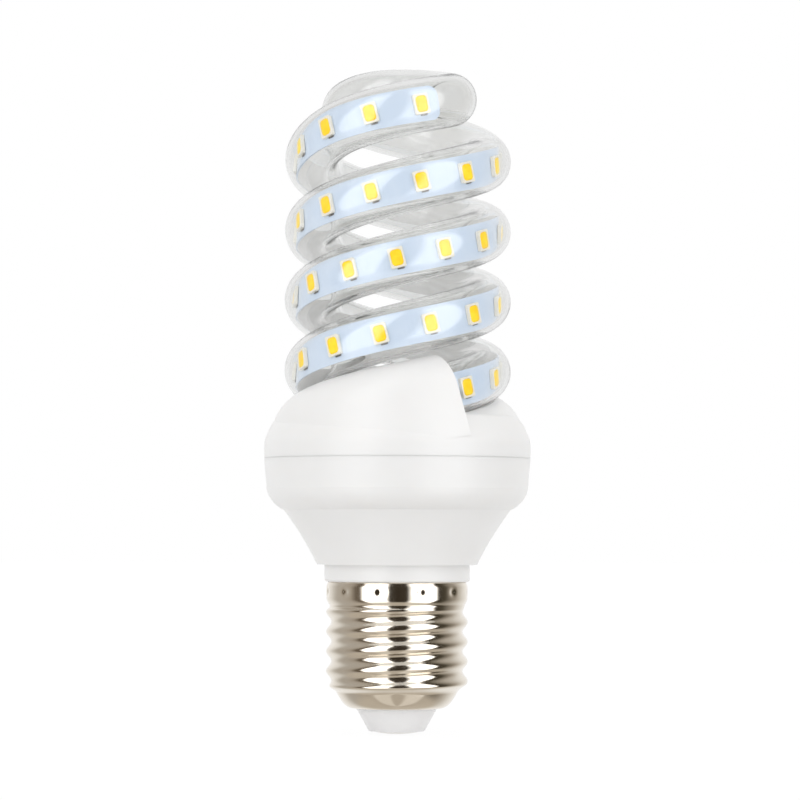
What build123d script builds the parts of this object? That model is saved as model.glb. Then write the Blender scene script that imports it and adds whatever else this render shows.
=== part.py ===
from build123d import *
from math import acos, atan2, cos, pi, radians, sin, sqrt
import os

# Spiral LED bulb: a clear double-helix tube with an LED strip in each arm, on a
# plastic housing with a screw base. Millimetres, +Z towards the spiral, origin at
# the lowest point of the centre contact, front of the bulb towards -Y.
# A turn is an unrolled angle about Z in degrees: 0 is +X, and it grows counter-clockwise.

# Housing: radii, and heights counted from the seam between its two mouldings
seam_height = 50.8
seam_gap = 0.2
wall_margin = 1.39           # outside of the hoods to the wall of the housing
housing_wall = 1.6
seam_lip_depth = 1.8
seam_lip_rise = 1.4
fit_clearance = 0.2
cover_wall_rise = 2.4        # straight wall of the cover above the seam
cover_rise = 5.4             # rounded part of the cover above its wall
cover_slope = (0.65, 2.4)    # two points of its curve, inward and upward from the wall
cover_brow = (1.95, 4.7)
cover_shoulder = 3.6
cover_inner_shoulder = 2.6
belly_inset = 0.45
belly_drop = 5.6
bulge_inset = 1.5            # point of the curve between the belly and the ledge
bulge_drop = 7.85
ledge_inset = 3.65
ledge_drop = 9.5
cone_waist = 0.35            # hollow of the cone between its two edges
neck_margin = 0.35           # shell to the neck ring
neck_edge = 0.3
cone_overhang = 1.35         # lower edge of the cone past the neck
cone_drop = 19.6
neck_drop = 22.7
collar_gap = 0.4
collar_length = 3.7
collar_step = 1.0            # height of the cone between the spigot and the collar
spigot_inset = 1.6           # outside of the shell to the spigot
spigot_height = 11.0
spigot_wall = 1.3

# Glass spiral
coil_radius = 16.06          # axis of the bulb to the centreline of the tube
tube_radius = 4.92
tube_wall = 0.9
arm_pitch = 26.0             # rise of one arm in one turn
arm_rise = 16.2              # seam to the centreline of the first arm at turn 0
arm_start_turn = -125.0      # sealed end, hidden under the hood
arm_end_turn = 610.0         # where the arm leaves the helix for the bridge
mouth_turn = -61.4           # where the arm comes out of the hood
bridge_rise = 7.22           # end of the arm to the top of the bridge
bridge_side_drop = 1.78      # the side of the S lies this much below its top
bridge_side_reach = 9.5
bridge_side_front = 8.0
bridge_side_climb = 0.2
bridge_arm_handle = 8.0
bridge_side_handle = 4.4
bridge_top_handle = 5.2
seal_turns = 10.0

# LED strips
strip_thickness = 0.3
strip_depth = 1.42           # bore of the tube to the outer face of the strip
strip_edge_gap = 0.125
strip_start_turn = -108.0
strip_reach = 12.0           # length of strip past the end of the helix
chip_length = 3.4
chip_width = 3.8
chip_height = 0.7
chip_rim = 0.3
chip_recess = 0.15
chip_gap = 0.03
chip_steps = {"a": 9.1, "b": 9.38}
chip_ends = {"a": 2.2, "b": 6.5}
chip_margin = 3.0            # bare strip before the first chip

# Hoods of the upper cover
hood_wall = 2.28             # tube to the outside of the hood
hood_pitch = 22.0
hood_drop = 0.35             # hood centreline below the tube centreline at the mouth
hood_sweep = 178.0
flank_inset = 0.09           # foot of the hood's outer flank, from the wall
flank_drop = 7.8
hood_bore_sweep = 165.0
hood_relief_sweep = 140.0    # room past the mouth, where the arm passes over the other hood
tube_clearance = 0.25

# Screw shell, insulator and centre contact
shell_thickness = 0.3
shell_radius = 13.1
shell_mouth_inset = 4.8
shell_mouth_height = 4.8
shell_heel_inset = 2.2       # middle of the rounded heel
shell_heel_rise = 1.35
shell_heel_top = 8.7
insulator_face_radius = 5.2
insulator_face_height = 0.6
insulator_rim_gap = 0.8
insulator_flange_reach = 1.4
insulator_flange_rise = 0.75
insulator_flange_height = 2.3
contact_radius = 4.8
contact_stem_radius = 1.4
contact_stem_height = 6.5

# Driver board and its parts
board_thickness = 1.6
board_drop = 4.8             # seam to the underside of the board
board_gap = 0.3
board_seat = 2.0
smoothing_radius = 4.0
smoothing_length = 12.5
smoothing_place = (-6.5, 4.0)
film_size = (9.0, 4.6, 8.0)
film_place = (1.5, -9.5)
inductor_radius = 4.2
inductor_length = 8.0
inductor_flange = 1.0
inductor_place = (5.5, 8.5)
rectifier_size = (6.4, 5.2, 2.6)
rectifier_place = (11.5, -5.0)
driver_chip_size = (5.0, 4.0, 1.5)
driver_chip_place = (0.0, 5.0)
sense_size = (3.2, 1.6, 0.6)
sense_place = (0.0, -4.0)
block_edge = 0.2
fuse_radius = 1.6
fuse_length = 8.0
fuse_edge = 0.4
fuse_gap = 5.9               # contact stem to the fuse
lead_radius = 0.35
neutral_inset = 0.8          # lead's centre inside the spigot's bore
neutral_drop = 1.5           # foot of the lead below the spigot
strip_lead_radius = 0.25
strip_lead_spread = 1.0
strip_lead_inset = 0.7       # lead's centre behind the outer face of the strip
strip_lead_exit = 0.4
strip_lead_start_turn = -106.0
strip_lead_exit_turn = -129.0
hole_clearance = 0.05

# Sizes that follow from the ones above
hood_radius = tube_radius + hood_wall
wall_radius = coil_radius + hood_radius + wall_margin
shell_mouth_radius = shell_radius - shell_mouth_inset
shell_heel_radius = shell_radius - shell_heel_inset
insulator_rim_radius = shell_mouth_radius - insulator_rim_gap
insulator_flange_radius = shell_mouth_radius + insulator_flange_reach
neck_radius = shell_radius + neck_margin
collar_radius = shell_radius - shell_thickness - collar_gap
spigot_radius = shell_radius - spigot_inset
arm_base_height = seam_height + arm_rise
bore_radius = tube_radius - tube_wall
strip_offset = bore_radius - strip_depth
strip_width = 2 * sqrt((bore_radius - strip_edge_gap) ** 2 - strip_offset ** 2)
inner_radius = wall_radius - housing_wall
lip_radius = inner_radius - fit_clearance
cover_bottom = seam_height + seam_gap / 2
cover_wall_top = seam_height + cover_wall_rise
cover_top = cover_wall_top + cover_rise
rim_height = seam_height - seam_gap / 2
belly_radius = wall_radius - belly_inset
belly_height = seam_height - belly_drop
ledge_radius = wall_radius - ledge_inset
ledge_height = seam_height - ledge_drop
cone_bottom_radius = neck_radius + cone_overhang
cone_bottom_height = seam_height - cone_drop
neck_height = seam_height - neck_drop
collar_height = neck_height - collar_length
spigot_bore = spigot_radius - spigot_wall
board_height = seam_height - board_drop
board_top = board_height + board_thickness
seat_radius = lip_radius - board_seat
stem_top = contact_stem_height + fuse_radius
fuse_height = stem_top + fuse_gap


def arm_height(turn):
    return arm_base_height + arm_pitch * turn / 360


def around(turn, radius, height=0.0):
    return Vector(radius * cos(radians(turn)), radius * sin(radians(turn)), height)


def helix_edge(radius, pitch, start_turn, end_turn, start_height):
    rise = pitch * (end_turn - start_turn) / 360
    edge = Helix(pitch, rise, radius, mode=Mode.PRIVATE)
    return edge.rotate(Axis.Z, start_turn).translate((0, 0, start_height))


def arm_helix(start_turn, end_turn):
    return helix_edge(coil_radius, arm_pitch, start_turn, end_turn, arm_height(start_turn))


def square_plane(turn, height, pitch):
    """Plane square to a helix of the coil's radius: local X outward, local Y up."""
    climb = pitch / (2 * pi * coil_radius)
    return Plane(around(turn, coil_radius, height), x_dir=around(turn, 1), z_dir=-around(turn + 90, 1, climb))


def half_turned(shape):
    return shape.rotate(Axis.Z, 180)


# Centreline of one half of the glass: the helical arm, then half of the S-shaped
# bridge that crosses the axis. The other half is the same, turned by 180 degrees.
arm_line = arm_helix(arm_start_turn, arm_end_turn)
arm_end = arm_line @ 1
arm_direction = arm_line % 1
bridge_top = Vector(0, 0, arm_end.Z + bridge_rise)
bridge_side = bridge_top + Vector(bridge_side_reach, -bridge_side_front, -bridge_side_drop)
side_direction = Vector(0, 1, bridge_side_climb).normalized()
bridge_outer = Bezier(
    arm_end,
    arm_end + arm_direction * bridge_arm_handle,
    bridge_side - side_direction * bridge_side_handle,
    bridge_side,
    mode=Mode.PRIVATE,
)
bridge_inner = Bezier(
    bridge_side,
    bridge_side + side_direction * bridge_side_handle,
    bridge_top + Vector(bridge_top_handle, 0, 0),
    bridge_top,
    mode=Mode.PRIVATE,
)


def round_run(radius):
    """A solid round bar along the whole centreline."""
    with BuildPart() as bar:
        with BuildSketch(square_plane(arm_start_turn, arm_height(arm_start_turn), arm_pitch)):
            Circle(radius)
        sweep(path=arm_line, is_frenet=True)
        for line in (bridge_outer, bridge_inner):
            with BuildSketch(Plane(line @ 0, z_dir=line % 0)):
                Circle(radius)
            sweep(path=line)
        add(half_turned(bar.part))
    return bar.part


# The glass is drawn as its outer and inner skins closed by a ring at each end
tube_outside = round_run(tube_radius)
tube_inside = round_run(tube_radius - tube_wall)
with BuildSketch(square_plane(arm_start_turn, arm_height(arm_start_turn), arm_pitch)) as tube_end:
    Circle(tube_radius)
    Circle(tube_radius - tube_wall, mode=Mode.SUBTRACT)
tube_skins = [
    face
    for solid in (tube_outside, tube_inside)
    for face in solid.faces()
    if face.geom_type != GeomType.PLANE
]
tube_rings = [tube_end.sketch.face(), half_turned(tube_end.sketch.face())]
with BuildPart() as spiral_tube:
    add(Solid(Shell(tube_skins + tube_rings)))
spiral_tube.part.label = "spiral_tube"

# A flexible strip lies against the outer side of the bore in each arm
strip_helix = arm_helix(strip_start_turn, arm_end_turn)
strip_tail = bridge_outer.trim_to_length(0, strip_reach)
strip_middle = strip_offset - strip_thickness / 2


def tail_plane(share):
    """Plane square to the strip's tail: local X outward, local Y up."""
    heading = strip_tail % share
    return Plane(strip_tail @ share, x_dir=(heading.Y, -heading.X, 0), z_dir=-heading)


with BuildPart() as strip:
    with BuildSketch(square_plane(strip_start_turn, arm_height(strip_start_turn), arm_pitch)):
        with Locations((strip_middle, 0)):
            Rectangle(strip_thickness, strip_width)
    sweep(path=strip_helix, is_frenet=True)
    for share in (0, 0.25, 0.5, 0.75, 1):
        with BuildSketch(tail_plane(share)):
            with Locations((strip_middle, 0)):
                Rectangle(strip_thickness, strip_width)
    loft()


def strip_spot(distance_from_end):
    """Plane on the outer face of the strip: local Z outward, local X along the strip."""
    back = strip_reach - distance_from_end
    line = strip_tail if back >= 0 else strip_helix
    length = back if back >= 0 else strip_helix.length + back
    spot = line.position_at(length, PositionMode.LENGTH)
    heading = line.tangent_at(length, PositionMode.LENGTH)
    outward = Vector(heading.Y, -heading.X, 0).normalized()
    return Plane(spot + outward * (strip_offset + chip_gap), x_dir=heading, z_dir=outward)


def chip_spots(arm):
    count = int((strip_helix.length + strip_reach - chip_margin - chip_ends[arm]) / chip_steps[arm]) + 1
    return [strip_spot(chip_ends[arm] + index * chip_steps[arm]) for index in range(count)]


parts = {"spiral_tube": spiral_tube}
for arm in ("a", "b"):
    with BuildPart() as led_strip:
        add(strip.part if arm == "a" else half_turned(strip.part))
    with BuildPart() as chip_frames:
        with BuildSketch(*chip_spots(arm)):
            Rectangle(chip_length, chip_width)
        extrude(amount=chip_height)
        with BuildSketch(*[spot.offset(chip_height) for spot in chip_spots(arm)]):
            Rectangle(chip_length - 2 * chip_rim, chip_width - 2 * chip_rim)
        extrude(amount=-2 * chip_recess, mode=Mode.SUBTRACT)
    with BuildPart() as phosphors:
        with BuildSketch(*[spot.offset(chip_height - 2 * chip_recess) for spot in chip_spots(arm)]):
            Rectangle(chip_length - 2 * chip_rim, chip_width - 2 * chip_rim)
        extrude(amount=chip_recess)
    for name, group in (("led_chips", chip_frames), ("led_phosphors", phosphors)):
        with BuildPart() as placed:
            add(group.part if arm == "a" else half_turned(group.part))
        parts[f"{name}_{arm}"] = placed
    parts[f"led_strip_{arm}"] = led_strip

# Two thin leads run from each strip through the plug in the tube's end to the board
with BuildPart() as strip_leads:
    for side in (-1, 1):
        start = around(strip_lead_start_turn, coil_radius + strip_offset - strip_lead_inset,
                       arm_height(strip_lead_start_turn) + side * strip_lead_spread)
        bend = around(strip_lead_exit_turn, coil_radius + strip_lead_exit,
                      arm_height(strip_lead_exit_turn) + side * strip_lead_spread)
        shift = around(strip_lead_exit_turn - 90, side * strip_lead_spread)
        bend = bend + shift
        with BuildLine() as route:
            Polyline(start, bend, Vector(bend.X, bend.Y, board_top))
        with BuildSketch(Plane(start, z_dir=bend - start)):
            Circle(strip_lead_radius)
        sweep(path=route.line, transition=Transition.RIGHT)

with BuildPart() as tube_seal:
    with BuildSketch(square_plane(arm_start_turn, arm_height(arm_start_turn), arm_pitch)):
        Circle(tube_radius - tube_wall - hole_clearance)
    sweep(path=arm_helix(arm_start_turn, arm_start_turn + seal_turns), is_frenet=True)
    add(strip_leads.part, mode=Mode.SUBTRACT)

for name, group in (("strip_leads", strip_leads), ("tube_seal", tube_seal)):
    for arm in ("a", "b"):
        with BuildPart() as placed:
            add(group.part if arm == "a" else half_turned(group.part))
        parts[f"{name}_{arm}"] = placed

# Upper cover: a low dome with two helical hoods that hold the ends of the tube
hood_start_turn = mouth_turn - hood_sweep
hood_start_height = arm_height(mouth_turn) - hood_drop - hood_pitch * hood_sweep / 360
hood_foot = Vector(wall_radius - coil_radius - flank_inset, -flank_drop)
flank_angle = atan2(hood_foot.Y, hood_foot.X) + acos(hood_radius / hood_foot.length)
hood_flank = Vector(hood_radius * cos(flank_angle), hood_radius * sin(flank_angle))
with BuildPart() as top_cover:
    with BuildSketch(Plane.XZ):
        with BuildLine():
            Polyline((0, cover_top), (0, cover_bottom), (wall_radius, cover_bottom), (wall_radius, cover_wall_top))
            Spline(
                (wall_radius, cover_wall_top),
                (wall_radius - cover_slope[0], cover_wall_top + cover_slope[1]),
                (wall_radius - cover_brow[0], cover_wall_top + cover_brow[1]),
                (wall_radius - cover_shoulder, cover_top),
                tangents=((0, 1), (-1, 0)),
            )
            Line((wall_radius - cover_shoulder, cover_top), (0, cover_top))
        make_face()
    revolve(axis=Axis.Z)
    hood_line = helix_edge(coil_radius, hood_pitch, hood_start_turn, mouth_turn, hood_start_height)
    with BuildPart(mode=Mode.PRIVATE) as hood:
        with BuildSketch(square_plane(hood_start_turn, hood_start_height, hood_pitch)):
            Circle(hood_radius)
            with BuildLine():
                Polyline((0, 0), hood_flank, hood_foot, close=True)
            make_face()
        sweep(path=hood_line, is_frenet=True)
    add(hood.part)
    add(half_turned(hood.part))
    with Locations((0, 0, cover_bottom)):
        Cylinder(2 * wall_radius, cover_bottom, align=(Align.CENTER, Align.CENTER, Align.MAX), mode=Mode.SUBTRACT)
    with BuildSketch(Plane.XZ):
        with BuildLine():
            Polyline(
                (0, cover_top - housing_wall),
                (0, cover_bottom),
                (inner_radius, cover_bottom),
                (inner_radius, cover_wall_top),
                (inner_radius - cover_inner_shoulder, cover_top - housing_wall),
                close=True,
            )
        make_face()
    revolve(axis=Axis.Z, mode=Mode.SUBTRACT)
    bore_start_turn = mouth_turn - hood_bore_sweep
    with BuildPart(mode=Mode.PRIVATE) as tube_bore:
        with BuildSketch(square_plane(bore_start_turn, arm_height(bore_start_turn), arm_pitch)):
            Circle(tube_radius + tube_clearance)
        sweep(path=arm_helix(bore_start_turn, mouth_turn + hood_relief_sweep), is_frenet=True)
    add(tube_bore.part, mode=Mode.SUBTRACT)
    add(half_turned(tube_bore.part), mode=Mode.SUBTRACT)
    with BuildSketch(Plane.XZ):
        with BuildLine():
            Polyline((lip_radius - housing_wall, cover_bottom - seam_lip_depth), (lip_radius, cover_bottom - seam_lip_depth),
                     (lip_radius, cover_bottom), (inner_radius, cover_bottom), (inner_radius, cover_bottom + seam_lip_rise),
                     (lip_radius - housing_wall, cover_bottom), close=True)
        make_face()
    revolve(axis=Axis.Z)
parts["top_cover"] = top_cover

# Lower housing: belly, hollow cone, neck ring and the spigot that carries the shell
waist_radius = (cone_bottom_radius + ledge_radius) / 2 - cone_waist
waist_height = (cone_bottom_height + ledge_height) / 2
with BuildPart() as lower_housing:
    with BuildSketch(Plane.XZ):
        with BuildLine():
            Polyline(
                (spigot_bore, cone_bottom_height),
                (spigot_bore, spigot_height),
                (spigot_radius, spigot_height),
                (spigot_radius, collar_height - collar_step),
                (collar_radius, collar_height),
                (collar_radius, neck_height),
                (neck_radius - neck_edge, neck_height),
                (neck_radius, neck_height + neck_edge),
                (neck_radius, cone_bottom_height),
                (cone_bottom_radius, cone_bottom_height),
            )
            ThreePointArc(
                (cone_bottom_radius, cone_bottom_height),
                (waist_radius, waist_height),
                (ledge_radius, ledge_height),
            )
            ThreePointArc(
                (ledge_radius, ledge_height),
                (wall_radius - bulge_inset, seam_height - bulge_drop),
                (belly_radius, belly_height),
            )
            Polyline(
                (belly_radius, belly_height),
                (wall_radius, rim_height),
                (inner_radius, rim_height),
                (inner_radius, board_height),
                (seat_radius, board_height),
                (seat_radius, ledge_height + housing_wall),
                (ledge_radius - housing_wall, ledge_height),
            )
            ThreePointArc(
                (ledge_radius - housing_wall, ledge_height),
                (waist_radius - housing_wall, waist_height),
                (cone_bottom_radius - housing_wall, cone_bottom_height + housing_wall),
            )
            Line((cone_bottom_radius - housing_wall, cone_bottom_height + housing_wall), (spigot_bore, cone_bottom_height))
        make_face()
    revolve(axis=Axis.Z)
parts["lower_housing"] = lower_housing

# Screw shell: one thin sheet with a rounded heel, open at its mouth
with BuildPart() as screw_shell:
    for inset, mode in ((0, Mode.ADD), (shell_thickness, Mode.SUBTRACT)):
        mouth = shell_mouth_height + inset
        top = neck_height + inset
        with BuildSketch(Plane.XZ):
            with BuildLine():
                ThreePointArc(
                    (shell_mouth_radius, mouth),
                    (shell_heel_radius, mouth + shell_heel_rise),
                    (shell_radius - inset, shell_heel_top),
                )
                Polyline(
                    (shell_radius - inset, shell_heel_top),
                    (shell_radius - inset, top),
                    (0, top),
                    (0, mouth),
                    (shell_mouth_radius, mouth),
                )
            make_face()
        revolve(axis=Axis.Z, mode=mode)
    with Locations((0, 0, shell_mouth_height)):
        Cylinder(shell_mouth_radius, 2 * shell_thickness, mode=Mode.SUBTRACT)
parts["screw_shell"] = screw_shell

# Insulator: a moulded cone in the open bottom of the shell, with the contact riveted through it
with BuildPart() as insulator:
    flange_seat = shell_mouth_height + shell_thickness
    with BuildSketch(Plane.XZ):
        with BuildLine():
            Polyline((contact_stem_radius, insulator_face_height), (insulator_face_radius, insulator_face_height),
                     (insulator_rim_radius, shell_mouth_height), (insulator_rim_radius, flange_seat),
                     (shell_mouth_radius, flange_seat),
                     (insulator_flange_radius, flange_seat + insulator_flange_rise),
                     (insulator_flange_radius, flange_seat + insulator_flange_height),
                     (contact_stem_radius, flange_seat + insulator_flange_height), close=True)
        make_face()
    revolve(axis=Axis.Z)
parts["insulator"] = insulator

with BuildPart() as centre_contact:
    with BuildSketch(Plane.XZ):
        with BuildLine():
            dome_middle = (contact_radius / 2, insulator_face_height / 4)
            ThreePointArc((0, 0), dome_middle, (contact_radius, insulator_face_height))
            Polyline((contact_radius, insulator_face_height), (contact_stem_radius, insulator_face_height),
                     (contact_stem_radius, stem_top), (0, stem_top), (0, 0))
        make_face()
    revolve(axis=Axis.Z)
parts["centre_contact"] = centre_contact

# Driver board on its ledge, with the parts that hang below it and stand on it
with BuildPart() as driver_board:
    with Locations((0, 0, board_height)):
        Cylinder(inner_radius - board_gap, board_thickness, align=(Align.CENTER, Align.CENTER, Align.MIN))
parts["driver_board"] = driver_board


def hanging(radius, length, place):
    with BuildPart() as body:
        with Locations((*place, board_height)):
            Cylinder(radius, length, align=(Align.CENTER, Align.CENTER, Align.MAX))
    return body


def block(size, place, height, side):
    with BuildPart() as body:
        with Locations((*place, height)):
            Box(*size, align=(Align.CENTER, Align.CENTER, side))
        fillet(body.edges().filter_by(Axis.Z), block_edge)
    return body


parts["smoothing_capacitor"] = hanging(smoothing_radius, smoothing_length, smoothing_place)
with BuildPart() as filter_inductor:
    with Locations((*inductor_place, board_height)):
        Cylinder(inductor_radius, inductor_length, align=(Align.CENTER, Align.CENTER, Align.MAX))
    with Locations((*inductor_place, board_height - inductor_flange)):
        with BuildPart(mode=Mode.PRIVATE) as waist_ring:
            Cylinder(inductor_radius, inductor_length - 2 * inductor_flange,
                     align=(Align.CENTER, Align.CENTER, Align.MAX))
            Cylinder(inductor_radius - inductor_flange, inductor_length - 2 * inductor_flange,
                     align=(Align.CENTER, Align.CENTER, Align.MAX), mode=Mode.SUBTRACT)
        add(waist_ring.part, mode=Mode.SUBTRACT)
parts["filter_inductor"] = filter_inductor
parts["film_capacitor"] = block(film_size, film_place, board_height, Align.MAX)
parts["bridge_rectifier"] = block(rectifier_size, rectifier_place, board_height, Align.MAX)
parts["driver_chip"] = block(driver_chip_size, driver_chip_place, board_top, Align.MIN)
parts["sense_resistor"] = block(sense_size, sense_place, board_top, Align.MIN)

# Live side: a fusible resistor on the axis between the contact and the board
with BuildPart() as fusible_resistor:
    with Locations((0, 0, fuse_height)):
        Cylinder(fuse_radius, fuse_length, align=(Align.CENTER, Align.CENTER, Align.MIN))
    chamfer(fusible_resistor.edges(), fuse_edge)
parts["fusible_resistor"] = fusible_resistor
with BuildPart() as live_lead:
    with Locations((0, 0, stem_top)):
        Cylinder(lead_radius, fuse_gap, align=(Align.CENTER, Align.CENTER, Align.MIN))
    with Locations((0, 0, fuse_height + fuse_length)):
        Cylinder(lead_radius, board_height - fuse_height - fuse_length,
                 align=(Align.CENTER, Align.CENTER, Align.MIN))
parts["live_lead"] = live_lead

# Neutral side: a lead bent outward under the spigot, its tip pressed against the shell's heel
with BuildPart() as neutral_lead:
    with BuildLine() as bent:
        Polyline(
            (spigot_bore - neutral_inset, 0, board_height),
            (spigot_bore - neutral_inset, 0, spigot_height - neutral_drop),
            (shell_radius - shell_thickness, 0, spigot_height - neutral_drop),
        )
    with BuildSketch(Plane(bent.line @ 0, z_dir=bent.line % 0)):
        Circle(lead_radius)
    sweep(path=bent.line, transition=Transition.RIGHT)
parts["neutral_lead"] = neutral_lead

os.makedirs("parts", exist_ok=True)
for name, body in parts.items():
    body.part.label = name
    export_step(body.part, f"parts/{name}.step")
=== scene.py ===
import bmesh
import bpy
from math import atan2, cos, exp, pi, radians, sin, sqrt
from mathutils import Matrix, Vector

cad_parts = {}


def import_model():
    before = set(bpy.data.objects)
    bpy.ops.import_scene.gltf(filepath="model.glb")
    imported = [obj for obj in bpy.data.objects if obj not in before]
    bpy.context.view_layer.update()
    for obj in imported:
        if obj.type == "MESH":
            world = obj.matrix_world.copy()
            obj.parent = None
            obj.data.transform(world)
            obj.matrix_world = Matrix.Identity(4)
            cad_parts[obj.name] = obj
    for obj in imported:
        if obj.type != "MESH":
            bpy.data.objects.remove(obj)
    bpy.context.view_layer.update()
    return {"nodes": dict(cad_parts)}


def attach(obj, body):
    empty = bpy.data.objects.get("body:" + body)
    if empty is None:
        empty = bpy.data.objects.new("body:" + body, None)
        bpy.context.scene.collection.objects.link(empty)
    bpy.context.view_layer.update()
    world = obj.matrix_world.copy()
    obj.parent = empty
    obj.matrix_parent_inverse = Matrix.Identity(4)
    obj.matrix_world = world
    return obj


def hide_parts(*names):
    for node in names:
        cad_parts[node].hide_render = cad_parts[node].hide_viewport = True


# Looks of the spiral LED bulb. Metres, +Z towards the spiral, front towards -Y.
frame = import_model()
nodes = frame["nodes"]
MM = 0.001

# Sizes of the glass, as in the solids apart from the lift
COIL_RADIUS = 16.06 * MM
TUBE_RADIUS = 4.92 * MM
TUBE_WALL = 0.9 * MM
ARM_PITCH = 26.0 * MM
ARM_BASE_HEIGHT = 67.0 * MM
ARM_START_TURN = -125.0
ARM_END_TURN = 610.0
ARM_LIFT = 1.25 * MM
ARM_LIFT_TURNS = (530.0, 596.0)
BRIDGE_SIDE = Vector((9.5, -8.0, 116.5)) * MM
BRIDGE_SIDE_CLIMB = 0.2
BRIDGE_TOP = Vector((0.0, 0.0, 118.28)) * MM
BRIDGE_ARM_HANDLE = 8.0 * MM
BRIDGE_SIDE_HANDLE = 4.4 * MM
BRIDGE_TOP_HANDLE = 5.2 * MM
TUBE_SIDES = 48
ARM_STEPS = 360
BRIDGE_STEPS = 28

# LED strips and chips
STRIP_WIDTH = 5.8 * MM
STRIP_THICKNESS = 0.3 * MM
STRIP_OFFSET = 2.6 * MM
STRIP_START_TURN = -108.0
STRIP_REACH = 12.0 * MM
STRIP_END_CORNER = 1.6 * MM
STRIP_STEPS = 300
STRIP_BRIDGE_STEP = 0.01
CHIP_LENGTH = 2.8 * MM
CHIP_WIDTH = 3.5 * MM
CHIP_HEIGHT = 0.7 * MM
CHIP_LIFT = 0.03 * MM
CHIP_RIM = 0.3 * MM
CHIP_CORNER = 0.25 * MM
CHIP_BEVEL = 0.06 * MM
CHIP_TOP_CORNER = 0.2 * MM
WELL_DEPTH = 0.12 * MM
WELL_CORNER = 0.7 * MM
WELL_FLOOR_RIM = 0.36 * MM
WELL_FLOOR_CORNER = 0.65 * MM
CORNER_STEPS = 4
PAD_LENGTH = 1.3 * MM
PAD_WIDTH = 0.3 * MM
PAD_CORNER = 0.12 * MM
PAD_TOP_LENGTH = 1.15 * MM
PAD_TOP_WIDTH = 0.2 * MM
PAD_TOP_CORNER = 0.09 * MM
PAD_HEIGHT = 0.14 * MM
PAD_LIFT = 0.005 * MM
PAD_SHIFT = 0.3 * MM
PAD_DROP = 0.14 * MM
CHIP_STEPS = {"a": 7.7 * MM, "b": 7.9 * MM}
CHIP_ENDS = {"a": 3.1 * MM, "b": 7.6 * MM}
CHIP_MARGIN = 3.0 * MM
# Gel: the share of its outline and its height over the rim, ring by ring
GEL_RIM = 0.3675 * MM
GEL_CORNER = 0.6 * MM
GEL_RINGS = ((1.0, -WELL_DEPTH), (1.0, -0.05 * MM), (0.8, 0.0), (0.45, 0.03 * MM))

# Seam of the housing
SEAM_LOW = 50.7 * MM
SEAM_HIGH = 50.9 * MM
LIP_INNER = 23.4 * MM
LIP_OUTER = 24.52 * MM
LIP_SIDES = 240

# Screw shell
THREAD_PITCH = 3.629 * MM
THREAD_CREST = 13.1 * MM
THREAD_ROOT = 12.15 * MM
THREAD_BOTTOM = 8.6 * MM
THREAD_TOP = 23.6 * MM
THREAD_CREST_HEIGHT = 13.4 * MM
THREAD_RUN_IN = (THREAD_BOTTOM - 0.9 * MM, THREAD_BOTTOM + 0.7 * MM)
THREAD_RUN_OUT = (THREAD_TOP - 0.8 * MM, THREAD_TOP + 0.4 * MM)
SHELL_THICKNESS = 0.3 * MM
BAND_RADIUS = 13.05 * MM
BAND_HEIGHT = 24.4 * MM
BAND_START = BAND_HEIGHT - 1 * MM
BAND_TAPER = (22.8 * MM, 25.0 * MM)
HEEL_BOTTOM = 4.8 * MM
HEEL_TOP = 10.0 * MM
MOUTH_RADIUS = 8.3 * MM
SHELL_TOP = 28.1 * MM
DENT_HEIGHT = 26.3 * MM
DENT_COUNT = 11
DENT_FIRST = -71.0
DENT_DEPTH = 0.35 * MM
DENT_RADIUS = 0.7 * MM
SHELL_LIP = (27.1 * MM, SHELL_TOP + 0.2 * MM)
SHELL_LIP_DROP = 0.3 * MM
SHELL_SIDES = 220
SHELL_RINGS = 190
SHELL_CROWDING = 1.25
SHELL_INNER_STRIDE = 10

# Camera, in pixels of the photograph and metres
PHOTO_SIZE = 800
CAMERA_FOCUS_PIXELS = 3142.0
CAMERA_DISTANCE = 0.582
CAMERA_HEIGHT = 0.0376
CAMERA_ROLL = 0.15
HORIZON_ROW = 530.0
AXIS_COLUMN = 397.5
SENSOR_WIDTH = 36.0
CLIP_START = 0.01

# Softboxes and floor, in metres
SOFTBOX_WIDTH = 0.9
SOFTBOX_HEIGHT = 1.2
SOFTBOX_DISTANCE = 1.2
SOFTBOX_LEVEL = 0.25
BULB_MIDDLE = Vector((0, 0, 0.065))
FLOOR_REACH = 3.0
FLOOR_WHITE_SHARE = 0.93
FLOOR_WHITE = 1.02

# Light that mirrors and glass see; azimuth 0 is the camera's side, 90 the right
LAMP = (2.6, 2.6, 2.6)
MIRRORED = (
    (-180, (0.90, 0.90, 0.90)), (-150, (0.70, 0.69, 0.68)), (-128, (0.52, 0.50, 0.47)),
    (-98, (0.50, 0.47, 0.43)), (-82, (0.44, 0.40, 0.35)), (-70, (0.16, 0.13, 0.10)),
    (-62, (0.13, 0.10, 0.07)), (-56, LAMP), (-19, LAMP), (-13, (0.06, 0.05, 0.04)),
    (0, (0.04, 0.03, 0.02)), (17, (0.05, 0.04, 0.03)), (29, LAMP), (66, LAMP),
    (71, (0.04, 0.03, 0.02)), (86, (0.08, 0.07, 0.05)), (104, (0.34, 0.31, 0.27)),
    (118, (0.55, 0.52, 0.48)), (150, (0.68, 0.67, 0.65)), (180, (0.90, 0.90, 0.90)),
)
CEILING = (0.5, 0.49, 0.48, 1)
CEILING_EDGE = (0.88, 1.0)
TABLE = (0.60, 0.55, 0.48, 1)
TABLE_EDGE = (-0.8, -0.6)
TABLE_SHARE = 0.9
BACKDROP = (1, 1, 1, 1)
BACKDROP_IN_GLASS = (0.84, 0.84, 0.84, 1)
BACKDROP_EDGE = (0.35, 0.93)

# Even pale room that all else sees: brighter towards the camera and upwards
ROOM_DEPTH = (-0.3, 1.0)
ROOM_SHADES = (0.93, 1.12)
ROOM_RISE = (-0.02, 0.04)


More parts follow.
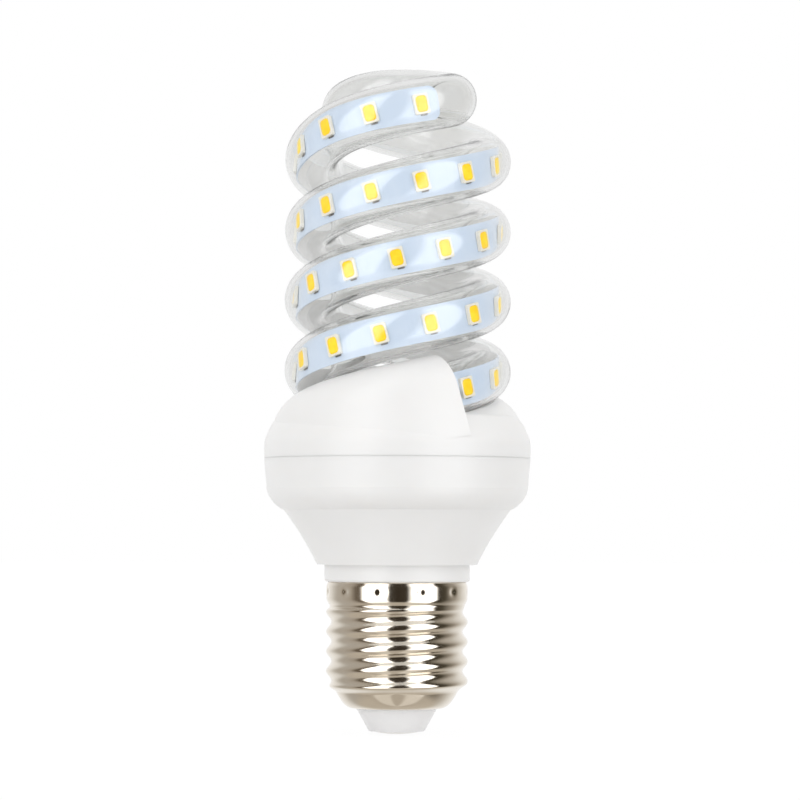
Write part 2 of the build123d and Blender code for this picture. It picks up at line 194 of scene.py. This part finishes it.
def smooth_step(value, low, high):
    t = min(max((value - low) / (high - low), 0.0), 1.0)
    return t * t * (3 - 2 * t)


def arm_height(turn):
    """The last stretch of an arm rises a little more than the helix."""
    return ARM_BASE_HEIGHT + ARM_PITCH * turn / 360 + ARM_LIFT * smooth_step(turn, *ARM_LIFT_TURNS)


def around(turn, radius, height=0.0):
    return Vector((radius * cos(radians(turn)), radius * sin(radians(turn)), height))


def arm_point(turn):
    return around(turn, COIL_RADIUS, arm_height(turn))


def bezier(points, t):
    a, b, c, d = points
    s = 1 - t
    return a * s**3 + b * 3 * s * s * t + c * 3 * s * t * t + d * t**3


ARM_END = arm_point(ARM_END_TURN)
ARM_DIRECTION = around(ARM_END_TURN + 90, 1, ARM_PITCH / (2 * pi * COIL_RADIUS)).normalized()
SIDE_DIRECTION = Vector((0, 1, BRIDGE_SIDE_CLIMB)).normalized()
OUTER_BRIDGE = (
    ARM_END,
    ARM_END + ARM_DIRECTION * BRIDGE_ARM_HANDLE,
    BRIDGE_SIDE - SIDE_DIRECTION * BRIDGE_SIDE_HANDLE,
    BRIDGE_SIDE,
)
INNER_BRIDGE = (
    BRIDGE_SIDE,
    BRIDGE_SIDE + SIDE_DIRECTION * BRIDGE_SIDE_HANDLE,
    BRIDGE_TOP + Vector((BRIDGE_TOP_HANDLE, 0, 0)),
    BRIDGE_TOP,
)


def half_turned(point):
    return Vector((-point.x, -point.y, point.z))


def half_centreline():
    """Points from an arm's lower end up to the top of the bridge."""
    span = ARM_END_TURN - ARM_START_TURN
    points = [arm_point(ARM_START_TURN + span * i / ARM_STEPS) for i in range(ARM_STEPS)]
    points += [bezier(OUTER_BRIDGE, i / BRIDGE_STEPS) for i in range(BRIDGE_STEPS)]
    points += [bezier(INNER_BRIDGE, i / BRIDGE_STEPS) for i in range(BRIDGE_STEPS + 1)]
    return points


def new_object(name, vertices, faces, smooth=True):
    mesh = bpy.data.meshes.new(name)
    mesh.from_pydata([tuple(v) for v in vertices], [], faces)
    mesh.validate()
    shape = bmesh.new()
    shape.from_mesh(mesh)
    bmesh.ops.recalc_face_normals(shape, faces=shape.faces)
    shape.to_mesh(mesh)
    shape.free()
    if smooth:
        mesh.polygons.foreach_set("use_smooth", [True] * len(mesh.polygons))
    mesh.update()
    obj = bpy.data.objects.new(name, mesh)
    bpy.context.scene.collection.objects.link(obj)
    return obj


# Materials


class Nodes:
    """A material's node tree with short calls for its nodes and links."""

    def __init__(self, name):
        self.material = bpy.data.materials.new(name)
        self.material.use_nodes = True
        self.tree = self.material.node_tree
        self.shader = self.tree.nodes["Principled BSDF"]
        self.place = self.add("ShaderNodeTexCoord").outputs["Object"]

    def add(self, kind, **values):
        node = self.tree.nodes.new(kind)
        for key, value in values.items():
            setattr(node, key, value)
        return node

    def link(self, source, target):
        self.tree.links.new(source, target)

    def set(self, **values):
        for key, value in values.items():
            self.shader.inputs[key.replace("_", " ")].default_value = value

    def noise(self, scale, detail=3.0, roughness=0.55, stretch=None):
        texture = self.add("ShaderNodeTexNoise")
        texture.inputs["Scale"].default_value = scale
        texture.inputs["Detail"].default_value = detail
        texture.inputs["Roughness"].default_value = roughness
        place = self.place
        if stretch:
            mapping = self.add("ShaderNodeMapping")
            mapping.inputs["Scale"].default_value = stretch
            self.link(place, mapping.inputs["Vector"])
            place = mapping.outputs["Vector"]
        self.link(place, texture.inputs["Vector"])
        return texture.outputs["Fac"]

    def ramp(self, source, stops):
        ramp = self.add("ShaderNodeValToRGB")
        elements = ramp.color_ramp.elements
        elements[0].position, elements[0].color = stops[0][0], (*stops[0][1], 1)
        elements[1].position, elements[1].color = stops[-1][0], (*stops[-1][1], 1)
        for position, colour in stops[1:-1]:
            elements.new(position).color = (*colour, 1)
        self.link(source, ramp.inputs["Fac"])
        return ramp.outputs["Color"]

    def spread(self, source, low, high):
        value = self.add("ShaderNodeMapRange")
        value.inputs["To Min"].default_value = low
        value.inputs["To Max"].default_value = high
        self.link(source, value.inputs["Value"])
        return value.outputs["Result"]

    def bump(self, source, height, strength=1.0):
        bump = self.add("ShaderNodeBump")
        bump.inputs["Distance"].default_value = height
        bump.inputs["Strength"].default_value = strength
        self.link(source, bump.inputs["Height"])
        self.link(bump.outputs["Normal"], self.shader.inputs["Normal"])


def satin(name, dark, light, roughness, grain=900.0, relief=0.00001, scale=60.0):
    """A moulded or coated surface: slightly uneven colour, uneven gloss and a fine grain."""
    m = Nodes(name)
    m.link(m.ramp(m.noise(scale), [(0.3, dark), (0.7, light)]), m.shader.inputs["Base Color"])
    m.link(m.spread(m.noise(scale * 3), roughness * 0.9, roughness * 1.1), m.shader.inputs["Roughness"])
    m.bump(m.noise(grain, detail=2.0), relief, 0.5)
    return m


def housing_plastic():
    m = satin("housing_plastic", (0.83, 0.825, 0.815), (0.86, 0.855, 0.848), 0.38, 1400.0, 0.000006)
    m.set(Subsurface_Weight=0.15, Subsurface_Scale=0.002, Subsurface_Radius=(1.0, 0.9, 0.8), IOR=1.5)
    return m.material


def insulator_plastic():
    m = satin("insulator_plastic", (0.90, 0.90, 0.91), (0.94, 0.94, 0.95), 0.3, 1200.0, 0.000006)
    return m.material


def plated_metal(name, dark, light, roughness):
    m = Nodes(name)
    m.set(Metallic=1.0)
    m.link(m.ramp(m.noise(140), [(0.3, dark), (0.7, light)]), m.shader.inputs["Base Color"])
    gloss = m.spread(m.noise(500, stretch=(1, 1, 0.15)), roughness * 0.6, roughness * 1.5)
    m.link(gloss, m.shader.inputs["Roughness"])
    m.bump(m.noise(260, detail=2.0), 0.00002, 0.25)
    return m.material


def clear_glass():
    """Clear glass; lamps and bounced light pass straight through, so what lies inside is lit."""
    m = Nodes("clear_glass")
    m.set(Base_Color=(0.945, 0.95, 0.945, 1), Transmission_Weight=1.0, IOR=1.47)
    m.link(m.spread(m.noise(120), 0.0, 0.03), m.shader.inputs["Roughness"])
    m.bump(m.noise(90, detail=1.0), 0.00008, 0.35)
    path = m.add("ShaderNodeLightPath")
    lit = m.add("ShaderNodeMath", operation="MAXIMUM")
    m.link(path.outputs["Is Shadow Ray"], lit.inputs[0])
    m.link(path.outputs["Is Diffuse Ray"], lit.inputs[1])
    clear = m.add("ShaderNodeBsdfTransparent")
    clear.inputs["Color"].default_value = (0.99, 0.99, 0.99, 1)
    mix = m.add("ShaderNodeMixShader")
    m.link(lit.outputs[0], mix.inputs["Fac"])
    m.link(m.shader.outputs["BSDF"], mix.inputs[1])
    m.link(clear.outputs["BSDF"], mix.inputs[2])
    m.link(mix.outputs["Shader"], m.tree.nodes["Material Output"].inputs["Surface"])
    return m.material


def strip_film():
    """Glossy pale blue solder mask."""
    m = Nodes("strip_film")
    m.set(IOR=1.6, Specular_IOR_Level=0.35)
    colour = m.ramp(m.noise(300), [(0.3, (0.69, 0.81, 0.98)), (0.7, (0.74, 0.85, 1.0))])
    m.link(colour, m.shader.inputs["Base Color"])
    m.link(m.spread(m.noise(700), 0.1, 0.18), m.shader.inputs["Roughness"])
    m.bump(m.noise(420, detail=2.0), 0.00002, 0.25)
    return m.material


def strip_back():
    return satin("strip_back", (0.93, 0.93, 0.92), (0.97, 0.97, 0.96), 0.35, scale=250.0).material


def chip_frame():
    return satin("chip_frame", (0.96, 0.91, 0.78), (0.98, 0.95, 0.87), 0.3, 2500.0, scale=900.0).material


def phosphor():
    """Yellow gel with a painted glow: it shines its own colour at a fixed strength under any light."""
    m = Nodes("phosphor")
    colour = m.ramp(m.noise(420), [(0.3, (1.0, 0.62, 0.015)), (0.7, (1.0, 0.78, 0.04))])
    m.link(colour, m.shader.inputs["Base Color"])
    # Painted glow: the gel's colour is also emitted at a fixed strength, whatever light falls on it.
    m.link(colour, m.shader.inputs["Emission Color"])
    m.set(Emission_Strength=0.22, Specular_IOR_Level=0.25)
    m.link(m.spread(m.noise(900), 0.25, 0.4), m.shader.inputs["Roughness"])
    m.bump(m.noise(5000, detail=2.0), 0.00001, 0.4)
    return m.material


def solder():
    m = satin("solder_pad", (0.16, 0.15, 0.15), (0.36, 0.35, 0.34), 0.35, 3000.0, scale=1500.0)
    m.set(Metallic=0.8)
    return m.material


# Glass tube


def sections(points):
    """Headings and level outward and up directions at each point of a centreline."""
    rows = []
    for i, point in enumerate(points):
        before = points[max(i - 1, 0)]
        after = points[min(i + 1, len(points) - 1)]
        heading = (after - before).normalized()
        outward = Vector((heading.y, -heading.x, 0)).normalized()
        rows.append((point, heading, outward, outward.cross(heading)))
    return rows


def tube_mesh(name, points, radius, wall, sides):
    """Outer and inner skin along a centreline, joined at both ends."""
    rows = sections(points)
    vertices = []
    for reach in (radius, radius - wall):
        for point, heading, outward, up in rows:
            for k in range(sides):
                angle = 2 * pi * k / sides
                vertices.append(point + outward * (reach * cos(angle)) + up * (reach * sin(angle)))
    count = len(points)
    faces = []
    for skin in (0, 1):
        base = skin * count * sides
        for i in range(count - 1):
            for k in range(sides):
                a = base + i * sides + k
                b = base + i * sides + (k + 1) % sides
                face = (a, b, b + sides, a + sides)
                faces.append(face if skin == 0 else face[::-1])
    for i, flip in ((0, True), (count - 1, False)):
        for k in range(sides):
            a, b = i * sides + k, i * sides + (k + 1) % sides
            c, d = b + count * sides, a + count * sides
            faces.append((a, d, c, b) if flip else (a, b, c, d))
    return new_object(name, vertices, faces)


def spiral_tube():
    half = half_centreline()
    points = half + [half_turned(p) for p in reversed(half[:-1])]
    tube = tube_mesh("glass_spiral", points, TUBE_RADIUS, TUBE_WALL, TUBE_SIDES)
    tube.data.materials.append(clear_glass())
    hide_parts("spiral_tube")
    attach(tube, "root")


# LED strips


def strip_line():
    """Points of a strip's centreline and their distance from the upper end."""
    span = ARM_END_TURN - STRIP_START_TURN
    points = [arm_point(STRIP_START_TURN + span * i / STRIP_STEPS) for i in range(STRIP_STEPS)]
    reach, last, t = 0.0, ARM_END, 0.0
    points.append(ARM_END)
    while reach < STRIP_REACH:
        t += STRIP_BRIDGE_STEP
        spot = bezier(OUTER_BRIDGE, t)
        reach += (spot - last).length
        points.append(spot)
        last = spot
    lengths = [0.0]
    for a, b in zip(points[::-1], points[-2::-1]):
        lengths.append(lengths[-1] + (a - b).length)
    return sections(points), lengths[::-1]


STRIP_ROWS, STRIP_LENGTHS = strip_line()


def strip_spot(distance):
    """Point, heading, outward and up on the strip's outer face at a distance from its upper end."""
    for i in range(len(STRIP_LENGTHS) - 1):
        if STRIP_LENGTHS[i] >= distance >= STRIP_LENGTHS[i + 1]:
            share = (STRIP_LENGTHS[i] - distance) / (STRIP_LENGTHS[i] - STRIP_LENGTHS[i + 1])
            point = STRIP_ROWS[i][0].lerp(STRIP_ROWS[i + 1][0], share)
            heading, outward, up = STRIP_ROWS[i][1:]
            return point + outward * STRIP_OFFSET, heading, outward, up
    raise ValueError("no such place on the strip")


def chip_distances(arm):
    count = int((STRIP_LENGTHS[0] - CHIP_MARGIN - CHIP_ENDS[arm]) / CHIP_STEPS[arm]) + 1
    return [CHIP_ENDS[arm] + k * CHIP_STEPS[arm] for k in range(count)]


def placed(arm, vertices):
    return vertices if arm == "a" else [half_turned(v) for v in vertices]


def strip(arm):
    """A flat ribbon on the outer side of the bore, rounded at its upper end."""
    vertices, faces = [], []
    corners = ((0, -1), (0, 1), (-1, 1), (-1, -1))
    for (point, heading, outward, up), left in zip(STRIP_ROWS, STRIP_LENGTHS):
        cut = max(STRIP_END_CORNER - left, 0.0)
        half = STRIP_WIDTH / 2 - STRIP_END_CORNER + sqrt(STRIP_END_CORNER**2 - cut**2)
        for depth, side in corners:
            level = STRIP_OFFSET + depth * STRIP_THICKNESS
            vertices.append(point + outward * level + up * (side * half))
    count = len(STRIP_ROWS)
    for i in range(count - 1):
        for k in range(4):
            a, b = i * 4 + k, i * 4 + (k + 1) % 4
            faces.append((a, b, b + 4, a + 4))
    faces.append((3, 2, 1, 0))
    faces.append(tuple((count - 1) * 4 + k for k in range(4)))
    ribbon = new_object(f"strip_{arm}", placed(arm, vertices), faces, smooth=False)
    ribbon.data.materials.append(strip_film())
    ribbon.data.materials.append(strip_back())
    for i, polygon in enumerate(ribbon.data.polygons):
        polygon.material_index = 1 if i < 4 * (count - 1) and i % 4 == 2 else 0
    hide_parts(f"led_strip_{arm}")
    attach(ribbon, "root")


def rounded_outline(length, width, corner):
    """Corner points of a rounded rectangle, counter-clockwise."""
    outline = []
    for cx, cy, start in ((1, 1, 0), (-1, 1, 90), (-1, -1, 180), (1, -1, 270)):
        for k in range(CORNER_STEPS + 1):
            angle = radians(start + 90 * k / CORNER_STEPS)
            outline.append((
                cx * (length / 2 - corner) + corner * cos(angle),
                cy * (width / 2 - corner) + corner * sin(angle),
            ))
    return outline


def lofted(spots, rings):
    """Stacks of outlines, (outline, height) each, standing on each spot, capped at both ends."""
    vertices, faces = [], []
    for point, heading, outward, up in spots:
        base = len(vertices)
        size = len(rings[0][0])
        for outline, height in rings:
            for x, y in outline:
                vertices.append(point + heading * x + up * y + outward * height)
        for r in range(len(rings) - 1):
            for k in range(size):
                a, b = base + r * size + k, base + r * size + (k + 1) % size
                faces.append((a, a + size, b + size, b))
        faces.append(tuple(base + k for k in range(size)))
        faces.append(tuple(base + (len(rings) - 1) * size + k for k in reversed(range(size))))
    return vertices, faces


def lofted_object(name, arm, spots, rings, smooth=True):
    """One object with a lofted piece at each spot of an arm's strip."""
    vertices, faces = lofted(spots, rings)
    return new_object(f"{name}_{arm}", placed(arm, vertices), faces, smooth)


def chips(arm):
    """Frames with a well, the crowned gel in it and the solder pad below each."""
    spots = [strip_spot(d) for d in chip_distances(arm)]

    def outline(rim, corner, share=1.0):
        length, width = CHIP_LENGTH - 2 * rim, CHIP_WIDTH - 2 * rim
        return rounded_outline(length * share, width * share, corner * share)

    outer = outline(0, CHIP_CORNER)
    frame_rings = [
        (outer, CHIP_LIFT),
        (outer, CHIP_HEIGHT - CHIP_BEVEL),
        (outline(CHIP_BEVEL, CHIP_TOP_CORNER), CHIP_HEIGHT),
        (outline(CHIP_RIM, WELL_CORNER), CHIP_HEIGHT),
        (outline(WELL_FLOOR_RIM, WELL_FLOOR_CORNER), CHIP_HEIGHT - WELL_DEPTH),
    ]
    frames = lofted_object("chips", arm, spots, frame_rings, smooth=False)
    frames.data.materials.append(chip_frame())
    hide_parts(f"led_chips_{arm}")
    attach(frames, "root")

    gel_rings = [
        (outline(GEL_RIM, GEL_CORNER, share), CHIP_HEIGHT + height) for share, height in GEL_RINGS
    ]
    gel = lofted_object("phosphor", arm, spots, gel_rings)
    gel.data.materials.append(phosphor())
    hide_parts(f"led_phosphors_{arm}")
    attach(gel, "root")

    pad_rings = [
        (rounded_outline(PAD_LENGTH, PAD_WIDTH, PAD_CORNER), PAD_LIFT),
        (rounded_outline(PAD_TOP_LENGTH, PAD_TOP_WIDTH, PAD_TOP_CORNER), PAD_HEIGHT),
    ]
    pad_spots = []
    for point, heading, outward, up in spots:
        pad_point = point - up * (CHIP_WIDTH / 2 + PAD_DROP) + heading * PAD_SHIFT
        pad_spots.append((pad_point, heading, outward, up))
    pads = lofted_object("solder", arm, pad_spots, pad_rings, smooth=False)
    pads.data.materials.append(solder())
    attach(pads, "root")


# Screw shell


def thread_radius(height, turn):
    """Radius of the rolled wave at a height and an angle in degrees."""
    phase = (height - THREAD_CREST_HEIGHT) / THREAD_PITCH - turn / 360
    wave = 0.5 + 0.5 * cos(2 * pi * phase)
    return THREAD_ROOT + (THREAD_CREST - THREAD_ROOT) * wave


def plain_radius(height):
    """Radius of the shell's plain stretches: the bowl at the bottom and the band at the top."""
    if height > BAND_START:
        band = THREAD_ROOT + (BAND_RADIUS - THREAD_ROOT) * smooth_step(height, *BAND_TAPER)
        return band - SHELL_LIP_DROP * smooth_step(height, *SHELL_LIP)
    share = (height - HEEL_BOTTOM) / (HEEL_TOP - HEEL_BOTTOM)
    return MOUTH_RADIUS + (THREAD_ROOT - MOUTH_RADIUS) * sqrt(min(max(share, 0.0), 1.0))


def shell_radius(height, turn):
    into = smooth_step(height, *THREAD_RUN_IN)
    out = 1 - smooth_step(height, *THREAD_RUN_OUT)
    plain = plain_radius(height)
    radius = plain + (thread_radius(height, turn) - plain) * into * out
    if abs(height - DENT_HEIGHT) < 4 * DENT_RADIUS:
        for k in range(DENT_COUNT):
            off = (turn - DENT_FIRST - 360 * k / DENT_COUNT + 180) % 360 - 180
            side = radians(off) * BAND_RADIUS
            away = (side * side + (height - DENT_HEIGHT) ** 2) / (DENT_RADIUS * DENT_RADIUS)
            radius -= DENT_DEPTH * exp(-away)
    return radius


def screw_shell():
    """Outer skin from the mouth up, then a plain inner skin back down."""
    turns = [360 * k / SHELL_SIDES for k in range(SHELL_SIDES)]
    rows = []
    for i in range(SHELL_RINGS + 1):
        height = HEEL_BOTTOM + (SHELL_TOP - HEEL_BOTTOM) * (i / SHELL_RINGS) ** SHELL_CROWDING
        rows.append((height, [shell_radius(height, turn) for turn in turns]))
    vertices, faces = [], []
    for height, radii in rows:
        vertices += [around(turn, radius, height) for turn, radius in zip(turns, radii)]
    for i in range(SHELL_RINGS, -1, -SHELL_INNER_STRIDE):
        height, radii = rows[i]
        inner = min(radii) - SHELL_THICKNESS
        if height < BAND_HEIGHT:
            inner = min(inner, THREAD_ROOT - SHELL_THICKNESS)
        if i == 0:
            height += SHELL_THICKNESS / 3
        vertices += [around(turn, inner, height) for turn in turns]
    levels = len(vertices) // SHELL_SIDES
    for i in range(levels):
        j = (i + 1) % levels
        for k in range(SHELL_SIDES):
            after = (k + 1) % SHELL_SIDES
            faces.append((
                i * SHELL_SIDES + k, i * SHELL_SIDES + after,
                j * SHELL_SIDES + after, j * SHELL_SIDES + k,
            ))
    shell = new_object("shell", vertices, faces)
    plating = plated_metal("plated_shell", (0.72, 0.66, 0.57), (0.80, 0.74, 0.65), 0.11)
    shell.data.materials.append(plating)
    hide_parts("screw_shell")
    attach(shell, "root")


def seam_lip():
    """The lower housing's joint lip, which closes the seam just below the surface."""
    profile = (
        (LIP_INNER, SEAM_LOW), (LIP_OUTER, SEAM_LOW), (LIP_OUTER, SEAM_HIGH), (LIP_INNER, SEAM_HIGH),
    )
    vertices = []
    for k in range(LIP_SIDES):
        vertices += [around(360 * k / LIP_SIDES, radius, height) for radius, height in profile]
    faces = []
    for k in range(LIP_SIDES):
        a, b = 4 * k, 4 * ((k + 1) % LIP_SIDES)
        for i in range(4):
            j = (i + 1) % 4
            faces.append((a + i, b + i, b + j, a + j))
    lip = new_object("seam_lip", vertices, faces, smooth=False)
    lip.data.materials.append(housing_plastic())
    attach(lip, "root")


def dress_solids():
    """Materials of the solids that stay as they are."""
    housing = housing_plastic()
    wire = plated_metal("tinned_wire", (0.66, 0.66, 0.65), (0.78, 0.78, 0.77), 0.3)
    epoxy = satin("black_epoxy", (0.03, 0.03, 0.03), (0.05, 0.05, 0.05), 0.5).material
    silicone = satin("silicone", (0.84, 0.84, 0.82), (0.9, 0.9, 0.88), 0.5).material
    laminate = satin("board_laminate", (0.50, 0.45, 0.29), (0.60, 0.54, 0.36), 0.5).material
    sleeve = satin("capacitor_sleeve", (0.03, 0.03, 0.05), (0.05, 0.05, 0.08), 0.3).material
    dipped = satin("film_coating", (0.35, 0.07, 0.03), (0.42, 0.1, 0.04), 0.25).material
    ferrite = satin("ferrite", (0.04, 0.04, 0.04), (0.08, 0.08, 0.08), 0.55).material
    coating = satin("resistor_coating", (0.13, 0.2, 0.16), (0.18, 0.26, 0.2), 0.5).material
    looks = {
        "top_cover": housing,
        "lower_housing": housing,
        "insulator": insulator_plastic(),
        "centre_contact": plated_metal("contact_metal", (0.72, 0.70, 0.66), (0.8, 0.78, 0.74), 0.3),
        "tube_seal_a": silicone,
        "tube_seal_b": silicone,
        "strip_leads_a": wire,
        "strip_leads_b": wire,
        "live_lead": wire,
        "neutral_lead": wire,
        "driver_board": laminate,
        "smoothing_capacitor": sleeve,
        "film_capacitor": dipped,
        "filter_inductor": ferrite,
        "bridge_rectifier": epoxy,
        "driver_chip": epoxy,
        "sense_resistor": epoxy,
        "fusible_resistor": coating,
    }
    for name, material in looks.items():
        obj = nodes[name]
        obj.data.materials.clear()
        obj.data.materials.append(material)


# Studio


def camera():
    data = bpy.data.cameras.new("camera")
    data.sensor_width = SENSOR_WIDTH
    data.lens = CAMERA_FOCUS_PIXELS / PHOTO_SIZE * data.sensor_width
    data.clip_start = CLIP_START
    obj = bpy.data.objects.new("camera", data)
    obj.location = (0, -CAMERA_DISTANCE, CAMERA_HEIGHT)
    pitch = atan2(HORIZON_ROW - PHOTO_SIZE / 2, CAMERA_FOCUS_PIXELS)
    yaw = -atan2(PHOTO_SIZE / 2 - AXIS_COLUMN, CAMERA_FOCUS_PIXELS)
    level = Matrix.Rotation(yaw, 4, "Z") @ Matrix.Rotation(pi / 2 + pitch, 4, "X")
    turn = level @ Matrix.Rotation(radians(CAMERA_ROLL), 4, "Z")
    obj.rotation_euler = turn.to_euler()
    bpy.context.scene.collection.objects.link(obj)
    bpy.context.scene.camera = obj


def softbox(name, azimuth, radiance):
    """A soft rectangular lamp that looks at the middle of the bulb."""
    light = bpy.data.lights.new(name, "AREA")
    light.shape = "RECTANGLE"
    light.size = SOFTBOX_WIDTH
    light.size_y = SOFTBOX_HEIGHT
    light.energy = radiance * pi * SOFTBOX_WIDTH * SOFTBOX_HEIGHT
    obj = bpy.data.objects.new(name, light)
    across = sin(radians(azimuth)) * SOFTBOX_DISTANCE
    deep = -cos(radians(azimuth)) * SOFTBOX_DISTANCE
    obj.location = (across, deep, SOFTBOX_LEVEL)
    obj.rotation_euler = (BULB_MIDDLE - obj.location).to_track_quat("-Z", "Y").to_euler()
    obj.visible_camera = False
    obj.visible_glossy = False
    obj.visible_transmission = False
    bpy.context.scene.collection.objects.link(obj)


def studio_floor():
    """Plain floor, white for the camera apart from a share of its shading, which keeps the shadow."""
    corners = ((-1, -1), (1, -1), (1, 1), (-1, 1))
    vertices = [(x * FLOOR_REACH, y * FLOOR_REACH, 0) for x, y in corners]
    floor = new_object("floor", vertices, [(0, 1, 2, 3)], smooth=False)
    m = Nodes("floor")
    m.set(Base_Color=(0.86, 0.86, 0.86, 1), Roughness=0.9)
    path = m.add("ShaderNodeLightPath")
    plain = m.add("ShaderNodeEmission")
    plain.inputs["Color"].default_value = (1, 1, 1, 1)
    plain.inputs["Strength"].default_value = FLOOR_WHITE
    part = m.add("ShaderNodeMath", operation="MULTIPLY")
    part.inputs[1].default_value = FLOOR_WHITE_SHARE
    m.link(path.outputs["Is Camera Ray"], part.inputs[0])
    mix = m.add("ShaderNodeMixShader")
    m.link(part.outputs[0], mix.inputs["Fac"])
    m.link(m.shader.outputs["BSDF"], mix.inputs[1])
    m.link(plain.outputs["Emission"], mix.inputs[2])
    m.link(mix.outputs["Shader"], m.tree.nodes["Material Output"].inputs["Surface"])
    floor.visible_glossy = False
    floor.visible_transmission = False
    floor.data.materials.append(m.material)


def world():
    """White for the camera. Mirrors and glass see two tall soft lamps with the dark camera between
    them and a pale backdrop behind the bulb, and everything else sees an even pale room."""
    made = bpy.data.worlds.new("studio")
    bpy.context.scene.world = made
    made.use_nodes = True
    tree = made.node_tree
    background = tree.nodes["Background"]

    def socket(value, target):
        if isinstance(value, (int, float, tuple)):
            target.default_value = value
        else:
            tree.links.new(value, target)

    def math(operation, *values):
        node = tree.nodes.new("ShaderNodeMath")
        node.operation = operation
        for target, value in zip(node.inputs, values):
            socket(value, target)
        return node.outputs[0]

    def ramped(value, low, high, start, end):
        node = tree.nodes.new("ShaderNodeMapRange")
        node.interpolation_type = "SMOOTHSTEP"
        socket(value, node.inputs["Value"])
        for key, number in (("From Min", low), ("From Max", high), ("To Min", start), ("To Max", end)):
            socket(number, node.inputs[key])
        return node.outputs["Result"]

    def mixed(share, first, second):
        node = tree.nodes.new("ShaderNodeMix")
        node.data_type = "RGBA"
        for key, value in ((0, share), (6, first), (7, second)):
            socket(value, node.inputs[key])
        return node.outputs[2]

    direction = tree.nodes.new("ShaderNodeTexCoord").outputs["Generated"]
    split = tree.nodes.new("ShaderNodeSeparateXYZ")
    tree.links.new(direction, split.inputs["Vector"])
    across, deep, high = split.outputs
    near = math("MULTIPLY", deep, -1.0)

    azimuth = math("ARCTAN2", across, near)
    turn = math("MULTIPLY_ADD", azimuth, 1 / (2 * pi), 0.5)
    ramp = tree.nodes.new("ShaderNodeValToRGB")
    elements = ramp.color_ramp.elements
    elements[0].color = (*MIRRORED[0][1], 1)
    elements[1].color = (*MIRRORED[-1][1], 1)
    for degree, colour in MIRRORED[1:-1]:
        elements.new(degree / 360 + 0.5).color = (*colour, 1)
    tree.links.new(turn, ramp.inputs["Fac"])
    mirror = mixed(ramped(high, *CEILING_EDGE, 0.0, 1.0), ramp.outputs["Color"], CEILING)
    mirror = mixed(ramped(high, *TABLE_EDGE, TABLE_SHARE, 0.0), mirror, TABLE)
    path = tree.nodes.new("ShaderNodeLightPath").outputs
    behind = mixed(path["Is Transmission Ray"], BACKDROP, BACKDROP_IN_GLASS)
    mirror = mixed(ramped(deep, *BACKDROP_EDGE, 0.0, 1.0), mirror, behind)

    near_shade = ramped(near, *ROOM_DEPTH, *ROOM_SHADES)
    high_shade = ramped(high, -1.0, 1.0, *ROOM_RISE)
    room = math("ADD", near_shade, high_shade)
    room_colour = tree.nodes.new("ShaderNodeCombineColor")
    for key in ("Red", "Green", "Blue"):
        tree.links.new(room, room_colour.inputs[key])

    sharp = math("MAXIMUM", path["Is Glossy Ray"], path["Is Transmission Ray"])
    seen = mixed(sharp, room_colour.outputs["Color"], mirror)
    seen = mixed(path["Is Camera Ray"], seen, BACKDROP)
    tree.links.new(seen, background.inputs["Color"])


spiral_tube()
for arm_name in ("a", "b"):
    strip(arm_name)
    chips(arm_name)
screw_shell()
seam_lip()
dress_solids()
camera()
studio_floor()
world()
softbox("left_softbox", azimuth=-40, radiance=0.25)
softbox("right_softbox", azimuth=45, radiance=0.2)

bpy.context.scene.view_settings.view_transform = "Standard"
